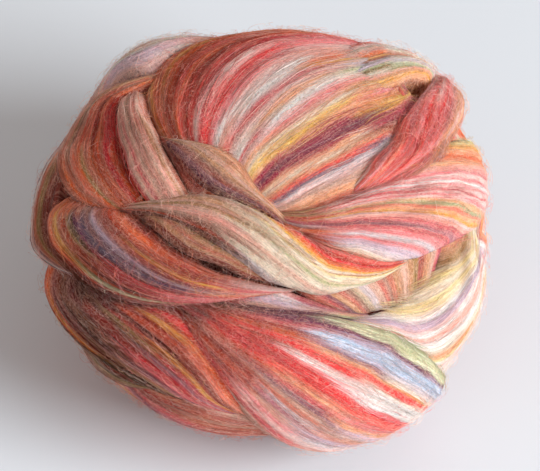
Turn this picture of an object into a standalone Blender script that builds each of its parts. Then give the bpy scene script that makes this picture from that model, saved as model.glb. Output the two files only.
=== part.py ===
# A ball of combed wool roving: one length of soft, thick, striped wool, wound on itself by hand.
# Metres, +Z up. The ball stands on the small flat spot under it, the origin is at that spot's middle,
# -Y is the side that faces the viewer and +X is the viewer's right.

import math

import bmesh
import bpy
import numpy as np

# ---- driving dimensions, in metres and degrees ----
BALL_WIDTH = 0.154          # side to side, along X
BALL_DEPTH = 0.150          # front to back, along Y
BALL_HEIGHT = 0.123         # before the underside is pressed flat
FLAT_DEPTH = 0.0070         # how much of the underside the flat spot takes away
CORE_DEPTH = 0.0085         # how far the wound inside lies under the outer strands
STRAND_ROOT = 0.0030        # how far a strand's hidden underside reaches into the wound inside
STRAND_TUCK = 0.10          # how far the underside draws in from each edge, as a share of the width
CROWN_FULLNESS = 2.4        # 2 makes a strand's section an ellipse, more makes it flatter on top
LOBE_DEPTH = 0.0009         # depth of the furrows between a strand's lengthwise lobes
HOLLOW_DEPTH = 0.007        # how far the wound inside sinks at the open fold near the red end
HOLLOW_PLACE = (45, 47)     # that fold's middle, right and up in millimetres as the eye sees it
HOLLOW_SPREAD = 0.10        # its size, as a share of the ball's
VIEW_TILT = 50.0            # height of the eye from which the seen strands are measured

# ---- fineness of the mesh ----
STEP_LENGTH = 0.0090        # along a strand
LOBE_POINTS = 4             # across one lobe of a strand's top
RIM_SHARE = 0.03            # place of the extra point that rounds each edge, as a share of the width
UNDER_POINTS = 3            # across the hidden underside
CORE_RINGS = 24
CORE_SIDES = 40

MM = 0.001

# The strands that show from the front, lowest first. Each row is one section across a strand, from
# one end to the other: both edges as (right, up) in millimetres from the ball's middle, as an eye at
# VIEW_TILT sees them, then the lift of the edges over the ball's surface and the crown's rise over
# the edges. A point past the ball's outline lies round the far side. LOBES gives the number of soft
# lengthwise lobes across each strand.
SECTION_COLUMNS = ("edge_a_right", "edge_a_up", "edge_b_right", "edge_b_up", "lift", "crown")

SEEN_STRANDS = {
    "foot_wrap": [
        (-55, -46, -48, -44, -6, 2),
        (-43, -54, -35, -48, -3, 4),
        (-30, -61, -23, -51, -3, 5),
        (-15, -65, -11, -56, -3, 4),
        (0, -66, -1, -60, -3, 3),
        (13, -68, 10, -63, -6, 2)],
    "olive_wrap": [
        (-69, -25, -63, -28, -6, 2),
        (-65, -34, -58, -34, -4, 3),
        (-58, -43, -50, -40, -3, 4),
        (-48, -49, -40, -45, -3, 4),
        (-37, -50, -28, -49, -4, 3),
        (-22, -53, -15, -53, -6, 1)],
    "inner_fan": [
        (3, -13, 61, 5, -7, 2),
        (10, -19, 60, -1, -5, 3),
        (20, -24, 58, -8, -5, 3),
        (27, -28, 59, -16, -8, 2)],
    "lower_left": [
        (-76, -4, -50, -18, -6, 4),
        (-75, -13, -38, -21, -3, 6),
        (-71, -23, -26, -25, -2, 6.5),
        (-64, -32, -17, -32, -2, 6.5),
        (-53, -40, -12, -40, -2, 6.5),
        (-40, -47, -8, -50, -2, 6),
        (-27, -52, -3, -58, -3, 4),
        (-16, -56, 2, -64, -6, 2)],
    "right_loop": [
        (67, 12, 73, 14, -10, 2),
        (63, 6, 71, 8, -7, 3),
        (60, 0, 73, -1, -7, 4),
        (59, -8, 75, -14, -6, 4),
        (55, -14, 75, -30, -5, 4),
        (49, -20, 69, -47, -5.5, 4),
        (42, -24, 58, -54, -5, 4),
        (32, -27, 42, -41, -4.5, 3),
        (22, -27, 26, -32, -6, 1)],
    "front_fan": [
        (-37, -22, -23, -20, -5, 3),
        (-28, -31, -8, -22, -2, 5),
        (-22, -40, 5, -24, -1.5, 6),
        (-15, -50, 20, -26, -1.5, 6.5),
        (-7, -60, 36, -30, -2, 6.5),
        (7, -68, 49, -37, -1.5, 6),
        (25, -72, 60, -47, -1, 6),
        (47, -73, 69, -54, 0, 5),
        (75, -75, 82, -50, -7, 3)],
    "lilac_wedge": [
        (-18, -22, -12, -18, -5, 2),
        (-7, -23, 2, -16, -3, 3),
        (7, -25, 12, -20, -3, 3),
        (20, -26, 22, -24, -3, 2),
        (33, -28, 34, -26, -5, 1)],
    "rust_under": [
        (-37, 34, -32, 31, -3, 2),
        (-31, 22, -25, 24, -2, 3),
        (-25, 13, -15, 14, -2, 3),
        (-18, 7, -7, 8, -5, 3)],
    "left_curl": [
        (14, 92, 10, 82, -11, 2),
        (-4, 86, -8, 75, -7, 3),
        (-22, 78, -24, 66, -4.5, 3),
        (-38, 67, -38, 55, 0, 3),
        (-50, 57, -48, 51, 1, 3),
        (-62, 46, -55, 44, 0, 3),
        (-70, 34, -63, 34, -1, 4),
        (-75, 26, -68, 26, -1, 4),
        (-78, 16, -70, 17, -1, 4),
        (-79, 7, -72, 8, -1, 4),
        (-78, -1, -71, 0, -1, 4),
        (-73, -8, -66, -7, -1, 4),
        (-62, -14, -56, -13, -3, 3),
        (-53, -19, -51, -18, -6, 1)],
    "top_fan": [
        (-37, 32, 3, 6, -6, 3),
        (-41, 46, 13, 9, -4, 5),
        (-37, 57, 28, 16, -4, 5),
        (-25, 66, 40, 24, -6, 5),
        (-10, 72, 47, 31, -5, 5),
        (13, 77, 45, 37, -4, 5),
        (35, 79, 42, 48, -4, 5),
        (60, 80, 50, 60, -9, 3)],
    "top_fold": [
        (5, 56, 13, 43, -7, 3),
        (18, 64, 27, 46, -4, 4),
        (35, 66, 40, 48.5, 0, 4),
        (48, 61, 46, 50.5, 2, 4),
        (56, 55.5, 51, 49.5, 1, 4),
        (58, 50, 53, 46, -7, 2)],
    "left_bundle": [
        (-35, 57, -33, 56, -4, 1),
        (-43, 52, -41, 49, -1, 3),
        (-52, 47, -49, 43, 0, 4),
        (-59, 41, -50, 38, 0, 5),
        (-64, 33, -49, 32, 0, 5),
        (-68, 24, -47, 24, 0, 6),
        (-67, 16, -43, 16, 0, 5),
        (-62, 10, -39, 10, -2, 4),
        (-53, 6, -35, 5, -7, 2)],
    "rose_strand": [
        (-47, 48, -42, 51, -3, 2),
        (-49, 42, -40, 42, 0, 4),
        (-49, 32, -37, 34, 1, 4),
        (-46, 24, -33, 26, 1, 5),
        (-43, 16, -28, 17, 1, 5),
        (-39, 10, -23, 9, -1, 4),
        (-35, 5, -19, 5, -7, 2)],
    "front_twist": [
        (-68, 16, -47, 10, -6, 4),
        (-72, 8, -43, 6, -1, 5),
        (-71, -1, -37, 1, 0, 6),
        (-66, -8, -28, -6, 0, 6),
        (-57, -16, -18, -11, 0, 6),
        (-44, -21, -8, -14, 0, 6),
        (-28, -22, 2, -16, 0, 4),
        (-7, -19, 10, -17, -2, 2)],
    "tan_twist": [
        (-45, 8, -40, 9, -3, 1),
        (-37, 2, -28, 6, 1, 3),
        (-27, -5, -20, 0, 2, 3),
        (-17, -9, -12, -5, 2, 3),
        (-7, -13, -3, -10, 1, 2),
        (3, -16, 7, -14, -3, 1)],
    "right_bundle": [
        (2, 5, 4, 9, -4, 3),
        (20, -4, 19, 11, -1, 5),
        (35, -8, 33, 16, -1, 6),
        (47, -7, 46, 23, -2, 6),
        (56, -4, 58, 32, -3, 6),
        (64, -1, 72, 35, -5, 5),
        (72, 1, 84, 31, -8, 4),
        (80, 2, 92, 22, -11, 2)],
    "knot_strand": [
        (-35, 32, -34, 33, -2, 1),
        (-31, 27, -23, 30, 1, 3),
        (-25, 19, -14, 26, 2, 4),
        (-17, 13, -7, 20, 2, 4),
        (-8, 10, -3, 14, 2, 3),
        (-1, 7, 2, 9, 1, 2),
        (5, 4, 6, 6, -2, 1)],
    "cream_twist": [
        (-49, 8, -47, 10, 0, 1),
        (-35, 6, -35, 12, 1, 3),
        (-22, 0, -22, 13, 2, 5),
        (-10, -8, -9, 10, 3, 5),
        (0, -14, 1, 5, 3, 5),
        (12, -18, 12, 0, 2, 5),
        (25, -17, 23, -5, 1, 4),
        (38, -13, 37, -8, -1, 2),
        (47, -8, 46, -7, -4, 1)],
    "red_end": [
        (58, 66, 66, 62, -4, 2),
        (55, 60, 61, 59, 2, 3),
        (55, 52, 62, 51, 4, 4),
        (50, 45, 63, 42, 3, 5),
        (44, 38, 62, 36, 1, 5),
        (41, 31, 55, 28, 1, 5),
        (34, 25, 45, 22, 2, 4),
        (27, 17, 34, 16, 2, 3),
        (23, 13, 26, 12, -1, 1)],
}

# The strands round the far side and underneath. Each row is one section: the bearing and elevation
# of its middle on the ball (0 is the front, 90 the right, in degrees), half its width, its lift and
# its crown, in millimetres.
WRAP_COLUMNS = ("bearing", "elevation", "half_width", "lift", "crown")

FAR_STRANDS = {
    "under_wrap": [
        (245, -34, 10, -11, 2),
        (258, -58, 28, -6, 4),
        (75, -85, 34, -6, 4),
        (70, -58, 28, -6, 4),
        (62, -34, 10, -11, 2)],
    "low_front": [
        (282, -46, 8, -10, 2),
        (305, -52, 14, -6, 4),
        (345, -57, 16, -6, 4),
        (25, -56, 14, -6, 4),
        (52, -48, 8, -10, 2)],
    "front_belt": [
        (268, -28, 6, -11, 2),
        (288, -30, 13, -8, 4),
        (312, -35, 15, -7, 4),
        (338, -40, 15, -7, 4),
        (5, -44, 12, -8, 3),
        (28, -46, 6, -11, 2)],
    "low_belt": [
        (45, -46, 6, -10, 2),
        (75, -40, 16, -7, 4),
        (120, -38, 18, -6, 5),
        (180, -36, 19, -6, 6),
        (235, -38, 18, -6, 5),
        (275, -42, 16, -7, 4),
        (305, -46, 6, -10, 2)],
    "right_side": [
        (72, 14, 8, -11, 2),
        (84, -2, 14, -9, 4),
        (95, -20, 16, -8, 5),
        (112, -38, 14, -8, 4),
        (130, -52, 6, -10, 2)],
    "back_belt": [
        (76, -18, 6, -10, 2),
        (100, -16, 16, -7, 5),
        (140, -8, 19, -5, 6),
        (180, -6, 19, -5, 6),
        (225, -10, 18, -5, 6),
        (262, -18, 15, -6, 5),
        (286, -24, 6, -10, 2)],
    "back_upper": [
        (78, 8, 7, -10, 2),
        (102, 20, 17, -8, 6),
        (140, 31, 19, -9, 6),
        (180, 35, 20, -9, 6),
        (220, 30, 17, -9, 6),
        (250, 18, 13, -8, 5),
        (276, 2, 6, -10, 2)],
    "back_slant": [
        (284, -6, 5, -10, 2),
        (258, 0, 12, -6, 4),
        (230, 8, 14, -5, 4),
        (200, 16, 15, -5, 4),
        (170, 18, 14, -5, 4),
        (142, 12, 14, -5, 4),
        (118, 0, 11, -6, 4),
        (100, -16, 5, -10, 2)],
}

LOBES = {
    "foot_wrap": 2, "olive_wrap": 1, "inner_fan": 4, "lower_left": 3, "right_loop": 3,
    "front_fan": 4, "lilac_wedge": 1, "rust_under": 1, "left_curl": 2, "top_fan": 4, "top_fold": 2,
    "left_bundle": 3, "rose_strand": 2, "front_twist": 3, "tan_twist": 1, "right_bundle": 4,
    "knot_strand": 1, "cream_twist": 3, "red_end": 2, "under_wrap": 2, "low_front": 2,
    "front_belt": 2, "low_belt": 2, "right_side": 2, "back_belt": 2, "back_upper": 3, "back_slant": 2}

# ---- the ball's two systems of measurement ----
HALF_AXES = np.array([BALL_WIDTH, BALL_DEPTH, BALL_HEIGHT]) / 2
MIDDLE = np.array([0.0, 0.0, BALL_HEIGHT / 2 - FLAT_DEPTH])
TILT = math.radians(VIEW_TILT)
SEEN_HALF_HEIGHT = math.hypot(HALF_AXES[1] * math.sin(TILT), HALF_AXES[2] * math.cos(TILT))


def unit(vectors):
    """Scale vectors to length 1."""
    return vectors / np.linalg.norm(vectors, axis=-1, keepdims=True)


def seen_direction(right, up):
    """Direction on the unit ball of a point measured as the tilted eye sees it, in metres."""
    side = np.array([1.0, 0.0, 0.0])
    rise = unit(np.array([0.0, math.sin(TILT) / HALF_AXES[2], math.cos(TILT) / HALF_AXES[1]]))
    toward = unit(np.array([0.0, -math.cos(TILT) / HALF_AXES[1], math.sin(TILT) / HALF_AXES[2]]))
    across = right / HALF_AXES[0]
    along = up / SEEN_HALF_HEIGHT
    reach = math.hypot(across, along)
    turn = math.asin(reach) if reach <= 1 else reach * math.pi / 2
    sideways = (across * side + along * rise) / max(reach, 1e-9)
    return math.sin(turn) * sideways + math.cos(turn) * toward


def bearing_direction(bearing, elevation):
    """Direction on the unit ball of a bearing round it and an elevation, in degrees."""
    turn = math.radians(bearing)
    height = math.radians(elevation)
    level = math.cos(height)
    return np.array([math.sin(turn) * level, -math.cos(turn) * level, math.sin(height)])


def surface_points(directions, height):
    """Points at a height over the ball's surface, along the surface's outward normal."""
    outward = unit(directions / HALF_AXES)
    return MIDDLE + HALF_AXES * directions + outward * height[..., None]


# ---- strands as smooth rows of sections ----
def seen_rows(table):
    """Both edges as unit directions, then lift and crown in metres, one row for each section."""
    rows = [dict(zip(SECTION_COLUMNS, row)) for row in table]
    edge_a = [seen_direction(row["edge_a_right"] * MM, row["edge_a_up"] * MM) for row in rows]
    edge_b = [seen_direction(row["edge_b_right"] * MM, row["edge_b_up"] * MM) for row in rows]
    heights = [(row["lift"] * MM, row["crown"] * MM) for row in rows]
    return np.array(edge_a), np.array(edge_b), np.array(heights)


def wrap_rows(table):
    """The same for a strand given by its middle line: the edges lie half a width to either side."""
    rows = [dict(zip(WRAP_COLUMNS, row)) for row in table]
    middle = np.array([bearing_direction(row["bearing"], row["elevation"]) for row in rows])
    sideways = unit(np.cross(np.gradient(middle, axis=0), middle))
    reach = np.array([[row["half_width"] * MM / HALF_AXES[1]] for row in rows])
    heights = np.array([(row["lift"] * MM, row["crown"] * MM) for row in rows])
    return unit(middle - sideways * reach), unit(middle + sideways * reach), heights


def smooth_through(rows, places):
    """Read a smooth curve through the rows (Catmull-Rom) at places counted in rows."""
    padded = np.vstack([2 * rows[0] - rows[1], rows, 2 * rows[-1] - rows[-2]])
    span = np.minimum(places.astype(int), len(rows) - 2)
    t = (places - span)[:, None]
    before, start, end, after = (padded[span + k] for k in range(4))
    slope_in = (end - before) / 2
    slope_out = (after - start) / 2
    return ((2 * t**3 - 3 * t**2 + 1) * start + (t**3 - 2 * t**2 + t) * slope_in
            + (3 * t**2 - 2 * t**3) * end + (t**3 - t**2) * slope_out)


def even_places(edge_a, edge_b):
    """Places along the strand, counted in rows, about STEP_LENGTH apart at its middle line."""
    middle = surface_points(unit(edge_a + edge_b), np.zeros(len(edge_a)))
    lengths = np.linalg.norm(np.diff(middle, axis=0), axis=1)
    travelled = np.concatenate([[0], np.cumsum(lengths)])
    count = max(4, round(travelled[-1] / STEP_LENGTH) + 1)
    return np.interp(np.linspace(0, travelled[-1], count), travelled, np.arange(len(edge_a)))


def strand_rings(lobes, edge_a, edge_b, heights):
    """Closed rings of points, one for each section: over the lobed crown and back underneath."""
    places = even_places(edge_a, edge_b)
    edge_a = unit(smooth_through(edge_a, places))
    edge_b = unit(smooth_through(edge_b, places))
    lift, crown = smooth_through(heights, places).T
    spread = np.linspace(0, 1, max(lobes, 2) * LOBE_POINTS - 1)
    across = np.sort(np.concatenate([spread, [RIM_SHARE, 1 - RIM_SHARE]]))
    rounded = np.sqrt(1 - np.abs(2 * across - 1) ** CROWN_FULLNESS)
    furrow = (1 + np.cos(2 * math.pi * lobes * across)) / 2
    top_height = lift[:, None] + crown[:, None] * rounded - LOBE_DEPTH * furrow
    under = np.linspace(1 - STRAND_TUCK, STRAND_TUCK, UNDER_POINTS)
    under_height = np.full((len(places), len(under)), -CORE_DEPTH - STRAND_ROOT)
    share = np.concatenate([across, under])
    directions = unit(edge_a[:, None] * (1 - share)[:, None] + edge_b[:, None] * share[:, None])
    return surface_points(directions, np.hstack([top_height, under_height]))


# ---- meshes ----
def loft_object(name, rings):
    """A closed body through rings of points: quads between the rings and one face at each end."""
    rows, sides = rings.shape[:2]
    index = np.arange(rows * sides).reshape(rows, sides)
    turned = np.roll(index, -1, axis=1)
    quads = np.stack([index[:-1], turned[:-1], turned[1:], index[1:]], axis=-1).reshape(-1, 4)
    mesh = bpy.data.meshes.new(name)
    faces = quads.tolist() + [index[0].tolist(), index[-1, ::-1].tolist()]
    mesh.from_pydata(rings.reshape(-1, 3).tolist(), [], faces)
    fix_normals(mesh)
    strand = bpy.data.objects.new(name, mesh)
    bpy.context.collection.objects.link(strand)
    return strand


def fix_normals(mesh):
    """Turn all faces outward."""
    shape = bmesh.new()
    shape.from_mesh(mesh)
    bmesh.ops.recalc_face_normals(shape, faces=shape.faces)
    shape.to_mesh(mesh)
    shape.free()


def core_object():
    """The wound inside that shows between the strands: a smooth closed ball."""
    mesh = bpy.data.meshes.new("core")
    shape = bmesh.new()
    bmesh.ops.create_uvsphere(shape, u_segments=CORE_SIDES, v_segments=CORE_RINGS, radius=1.0)
    hollow = seen_direction(HOLLOW_PLACE[0] * MM, HOLLOW_PLACE[1] * MM)
    for vertex in shape.verts:
        direction = np.array(vertex.co)
        nearness = math.exp(-(np.linalg.norm(direction - hollow) / HOLLOW_SPREAD) ** 2)
        vertex.co = MIDDLE + (HALF_AXES - CORE_DEPTH - HOLLOW_DEPTH * nearness) * direction
    shape.to_mesh(mesh)
    shape.free()
    core = bpy.data.objects.new("core", mesh)
    bpy.context.collection.objects.link(core)
    return core


def evaluated_copy(source):
    """The mesh of an object after its modifiers."""
    graph = bpy.context.evaluated_depsgraph_get()
    return bpy.data.meshes.new_from_object(source.evaluated_get(graph), depsgraph=graph)


def combine(ball, tool, operation):
    """Union or difference with another closed body, which is then taken away."""
    step = ball.modifiers.new(tool.name, "BOOLEAN")
    step.operation = operation
    step.solver = "MANIFOLD"
    step.object = tool
    result = evaluated_copy(ball)
    ball.modifiers.clear()
    ball.data = result
    bpy.data.objects.remove(tool)


def floor_block():
    """A block whose top is the floor, wider than the ball."""
    mesh = bpy.data.meshes.new("floor_block")
    shape = bmesh.new()
    bmesh.ops.create_cube(shape, size=2 * BALL_WIDTH)
    bmesh.ops.translate(shape, verts=shape.verts, vec=(0, 0, -BALL_WIDTH))
    shape.to_mesh(mesh)
    shape.free()
    block = bpy.data.objects.new("floor_block", mesh)
    bpy.context.collection.objects.link(block)
    return block


def keep_largest(mesh):
    """Keep the largest closed skin: the slivers that crossing strands leave are taken away."""
    shape = bmesh.new()
    shape.from_mesh(mesh)
    bmesh.ops.triangulate(shape, faces=shape.faces[:])
    mend_pinches(shape)
    skins = []
    waiting = set(shape.faces)
    while waiting:
        skin = [waiting.pop()]
        for face in skin:
            near = {other for edge in face.edges for other in edge.link_faces} & waiting
            waiting -= near
            skin.extend(near)
        skins.append(skin)
    skins.sort(key=len)
    slivers = [face for skin in skins[:-1] for face in skin]
    bmesh.ops.delete(shape, geom=slivers, context="FACES")
    shape.to_mesh(mesh)
    shape.free()


def mend_pinches(shape):
    """Draw together the short edges where more than two faces meet, until none is left."""
    remove_fins(shape)
    pinched = [edge for edge in shape.edges if len(edge.link_faces) > 2]
    while pinched:
        bmesh.ops.collapse(shape, edges=pinched)
        remove_fins(shape)
        pinched = [edge for edge in shape.edges if len(edge.link_faces) > 2]


def remove_fins(shape):
    """Take away pairs of triangles that lie back to back on the same three corners."""
    shape.verts.index_update()
    first = {}
    fins = []
    for face in shape.faces:
        corners = frozenset(vertex.index for vertex in face.verts)
        if corners in first:
            fins += [first[corners], face]
        first[corners] = face
    bmesh.ops.delete(shape, geom=fins, context="FACES_ONLY")
    bare = [edge for edge in shape.edges if not edge.link_faces]
    bmesh.ops.delete(shape, geom=bare, context="EDGES")


def wool_material():
    """Dyed wool, matt, in the mix's overall rose."""
    material = bpy.data.materials.new("dyed_wool")
    material.use_nodes = True
    surface = material.node_tree.nodes["Principled BSDF"]
    surface.inputs["Base Color"].default_value = (0.60, 0.24, 0.17, 1.0)
    surface.inputs["Roughness"].default_value = 0.85
    surface.inputs["Metallic"].default_value = 0.0
    return material


def build():
    for leftover in list(bpy.data.objects):
        bpy.data.objects.remove(leftover)
    rows = {name: seen_rows(table) for name, table in SEEN_STRANDS.items()}
    rows.update({name: wrap_rows(table) for name, table in FAR_STRANDS.items()})
    ball = core_object()
    for name, sections in rows.items():
        strand = loft_object(name, strand_rings(LOBES[name], *sections))
        combine(ball, strand, "UNION")
    combine(ball, floor_block(), "DIFFERENCE")
    keep_largest(ball.data)
    ball.name = "roving_ball"
    ball.data.shade_smooth()
    ball.data.materials.clear()
    ball.data.materials.append(wool_material())


build()
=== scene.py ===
# Looks of a ball of combed wool roving: wound striped strands, the fibres lying along them and the
# loose hairs that stand off them. Metres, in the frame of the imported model.
import math

import bpy
import numpy as np
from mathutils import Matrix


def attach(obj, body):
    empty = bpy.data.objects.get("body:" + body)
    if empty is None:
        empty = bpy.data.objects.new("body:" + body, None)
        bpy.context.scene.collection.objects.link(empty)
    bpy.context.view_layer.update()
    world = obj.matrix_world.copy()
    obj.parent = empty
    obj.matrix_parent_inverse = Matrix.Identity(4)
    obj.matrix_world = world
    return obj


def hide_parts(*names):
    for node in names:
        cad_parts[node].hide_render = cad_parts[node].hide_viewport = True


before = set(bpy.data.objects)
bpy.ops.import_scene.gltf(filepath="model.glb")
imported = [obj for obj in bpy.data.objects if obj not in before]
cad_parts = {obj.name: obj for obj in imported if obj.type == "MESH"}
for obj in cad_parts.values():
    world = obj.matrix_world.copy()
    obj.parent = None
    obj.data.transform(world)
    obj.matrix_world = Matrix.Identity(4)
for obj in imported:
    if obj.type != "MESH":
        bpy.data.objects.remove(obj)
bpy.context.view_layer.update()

# the ball before its underside is pressed flat, as in the solid
ball = {
    "width": 0.154,        # along X
    "depth": 0.150,        # along Y
    "height": 0.123,       # along Z
    "flatDepth": 0.0070,   # taken off the underside by the flat spot
    "coreDepth": 0.0085,   # how far the wound inside lies under the outer strands
    "viewTilt": 50.0,      # height of the eye that the seen strands are measured from, in degrees
}
mm = 0.001
halfAxes = np.array([ball["width"], ball["depth"], ball["height"]]) / 2
middle = np.array([0.0, 0.0, ball["height"] / 2 - ball["flatDepth"]])
tilt = math.radians(ball["viewTilt"])
seenHalfHeight = math.hypot(halfAxes[1] * math.sin(tilt), halfAxes[2] * math.cos(tilt))

# the strands that show from the front, lowest first: right and up of edge A, right and up of edge B,
# lift of the edges over the ball's surface, rise of the crown over the edges, all in mm
seenStrands = {
    "footWrap": [
        (-55, -46, -48, -44, -6, 2), (-43, -54, -35, -48, -3, 4), (-30, -61, -23, -51, -3, 5),
        (-15, -65, -11, -56, -3, 4), (0, -66, -1, -60, -3, 3), (13, -68, 10, -63, -6, 2)],
    "oliveWrap": [
        (-69, -25, -63, -28, -6, 2), (-65, -34, -58, -34, -4, 3), (-58, -43, -50, -40, -3, 4),
        (-48, -49, -40, -45, -3, 4), (-37, -50, -28, -49, -4, 3), (-22, -53, -15, -53, -6, 1)],
    "innerFan": [
        (3, -13, 61, 5, -7, 2), (10, -19, 60, -1, -5, 3), (20, -24, 58, -8, -5, 3),
        (27, -28, 59, -16, -8, 2)],
    "lowerLeft": [
        (-76, -4, -50, -18, -6, 4), (-75, -13, -38, -21, -3, 6), (-71, -23, -26, -25, -2, 6.5),
        (-64, -32, -17, -32, -2, 6.5), (-53, -40, -12, -40, -2, 6.5), (-40, -47, -8, -50, -2, 6),
        (-27, -52, -3, -58, -3, 4), (-16, -56, 2, -64, -6, 2)],
    "rightLoop": [
        (67, 12, 73, 14, -10, 2), (63, 6, 71, 8, -7, 3), (60, 0, 73, -1, -7, 4), (59, -8, 75, -14, -6, 4),
        (55, -14, 75, -30, -5, 4), (49, -20, 69, -47, -5.5, 4), (42, -24, 58, -54, -5, 4),
        (32, -27, 42, -41, -4.5, 3), (22, -27, 26, -32, -6, 1)],
    "frontFan": [
        (-37, -22, -23, -20, -5, 3), (-28, -31, -8, -22, -2, 5), (-22, -40, 5, -24, -1.5, 6),
        (-15, -50, 20, -26, -1.5, 6.5), (-7, -60, 36, -30, -2, 6.5), (7, -68, 49, -37, -1.5, 6),
        (25, -72, 60, -47, -1, 6), (47, -73, 69, -54, 0, 5), (75, -75, 82, -50, -7, 3)],
    "lilacWedge": [
        (-18, -22, -12, -18, -5, 2), (-7, -23, 2, -16, -3, 3), (7, -25, 12, -20, -3, 3),
        (20, -26, 22, -24, -3, 2), (33, -28, 34, -26, -5, 1)],
    "rustUnder": [
        (-37, 34, -32, 31, -3, 2), (-31, 22, -25, 24, -2, 3), (-25, 13, -15, 14, -2, 3),
        (-18, 7, -7, 8, -5, 3)],
    "leftCurl": [
        (14, 92, 10, 82, -11, 2), (-4, 86, -8, 75, -6, 3), (-22, 78, -24, 66, -2, 3),
        (-38, 67, -38, 55, 2.5, 3), (-50, 57, -48, 51, 2.5, 3), (-61, 46, -55, 44, -1.5, 3),
        (-69, 34, -62, 34, -3, 3), (-74, 26, -67, 26, -2, 4), (-78, 16, -70, 17, -1, 4),
        (-79, 7, -72, 8, -1, 4), (-78, -1, -71, 0, -1, 4), (-73, -8, -66, -7, -1, 4),
        (-62, -14, -56, -13, -3, 3), (-53, -19, -51, -18, -6, 1)],
    "topFan": [
        (-37, 32, 5, 5, -6, 3), (-43, 46, 17, 7, -4, 5), (-41, 57, 33, 13, -4, 5),
        (-28, 67, 46, 20, -5, 5), (-10, 72, 56, 28, -4, 5), (13, 77, 50, 36, -4, 5),
        (35, 79, 42, 47, -4, 5), (60, 80, 50, 60, -13, 2)],
    "topFold": [
        (5, 56, 13, 43, -7, 3), (18, 64, 27, 46, -4.5, 3.5), (35, 66, 40, 48.5, 0, 4),
        (48, 61, 46, 50.5, 2, 4), (56, 55.5, 51, 49.5, 1, 4), (58, 50, 53, 46, -7, 2)],
    "leftBundle": [
        (-35, 57, -33, 56, -4, 1), (-43, 52, -41, 49, -1, 3), (-52, 47, -49, 43, 0, 4),
        (-59, 41, -50, 38, 0, 5), (-64, 33, -49, 32, 0, 5), (-68, 24, -47, 24, 0, 6),
        (-67, 16, -43, 16, 0, 5), (-62, 10, -39, 10, -2, 4), (-53, 6, -35, 5, -7, 2)],
    "roseStrand": [
        (-45, 53, -43, 55, -6, 1), (-49, 43, -41, 44, -1, 4), (-49, 32, -37, 34, 1, 4),
        (-46, 24, -33, 26, 1, 5), (-43, 16, -28, 17, 1, 5), (-39, 10, -23, 9, -1, 4),
        (-35, 5, -19, 5, -7, 2)],
    "frontTwist": [
        (-68, 16, -47, 10, -6, 4), (-72, 8, -43, 6, -1, 5), (-71, -1, -37, 1, 0, 6),
        (-66, -8, -28, -6, 0, 6), (-57, -16, -18, -11, 0, 6), (-44, -21, -8, -14, 0, 6),
        (-28, -22, 2, -16, 0, 4), (-7, -19, 10, -17, -2, 2)],
    "tanTwist": [
        (-45, 8, -40, 9, -3, 1), (-37, 2, -28, 6, 1, 3), (-27, -5, -20, 0, 2, 3),
        (-17, -9, -12, -5, 2, 3), (-7, -13, -3, -10, 1, 2), (3, -16, 7, -14, -3, 1)],
    "rightBundle": [
        (2, 5, 4, 9, -4, 3), (20, -4, 19, 11, -1, 5), (35, -8, 33, 16, -1, 6), (47, -7, 46, 23, -2, 6),
        (56, -4, 58, 32, -3, 6), (64, -1, 72, 35, -5, 5), (72, 1, 84, 31, -8, 4),
        (80, 2, 92, 22, -11, 2)],
    "knotStrand": [
        (-35, 32, -34, 33, -2, 1), (-31, 27, -23, 30, 1, 3), (-25, 19, -14, 26, 2, 4),
        (-17, 13, -7, 20, 2, 4), (-8, 10, -3, 14, 2, 3), (-1, 7, 2, 9, 1, 2), (5, 4, 6, 6, -2, 1)],
    "creamTwist": [
        (-49, 8, -47, 10, 0, 1), (-35, 6, -35, 12, 1, 3), (-22, 0, -22, 13, 2, 5),
        (-10, -8, -9, 10, 3, 5), (0, -14, 1, 5, 3, 5), (12, -18, 12, 0, 2, 5), (25, -17, 23, -5, 1, 4),
        (38, -13, 37, -8, -1, 2), (47, -8, 46, -7, -4, 1)],
    "redEnd": [
        (58, 66, 66, 62, -10, 2), (55, 60, 61, 59, 1, 3), (55, 52, 62, 51, 3, 3),
        (49, 45, 63, 42, 2, 3.5), (43, 38, 62, 36, 0, 3.5), (40, 31, 55, 28, -0.5, 3.5),
        (34, 25, 46, 22, 0, 3.5), (30, 20, 38, 17, 0, 3), (26, 15, 31, 14, -3, 1)],
}

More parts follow.
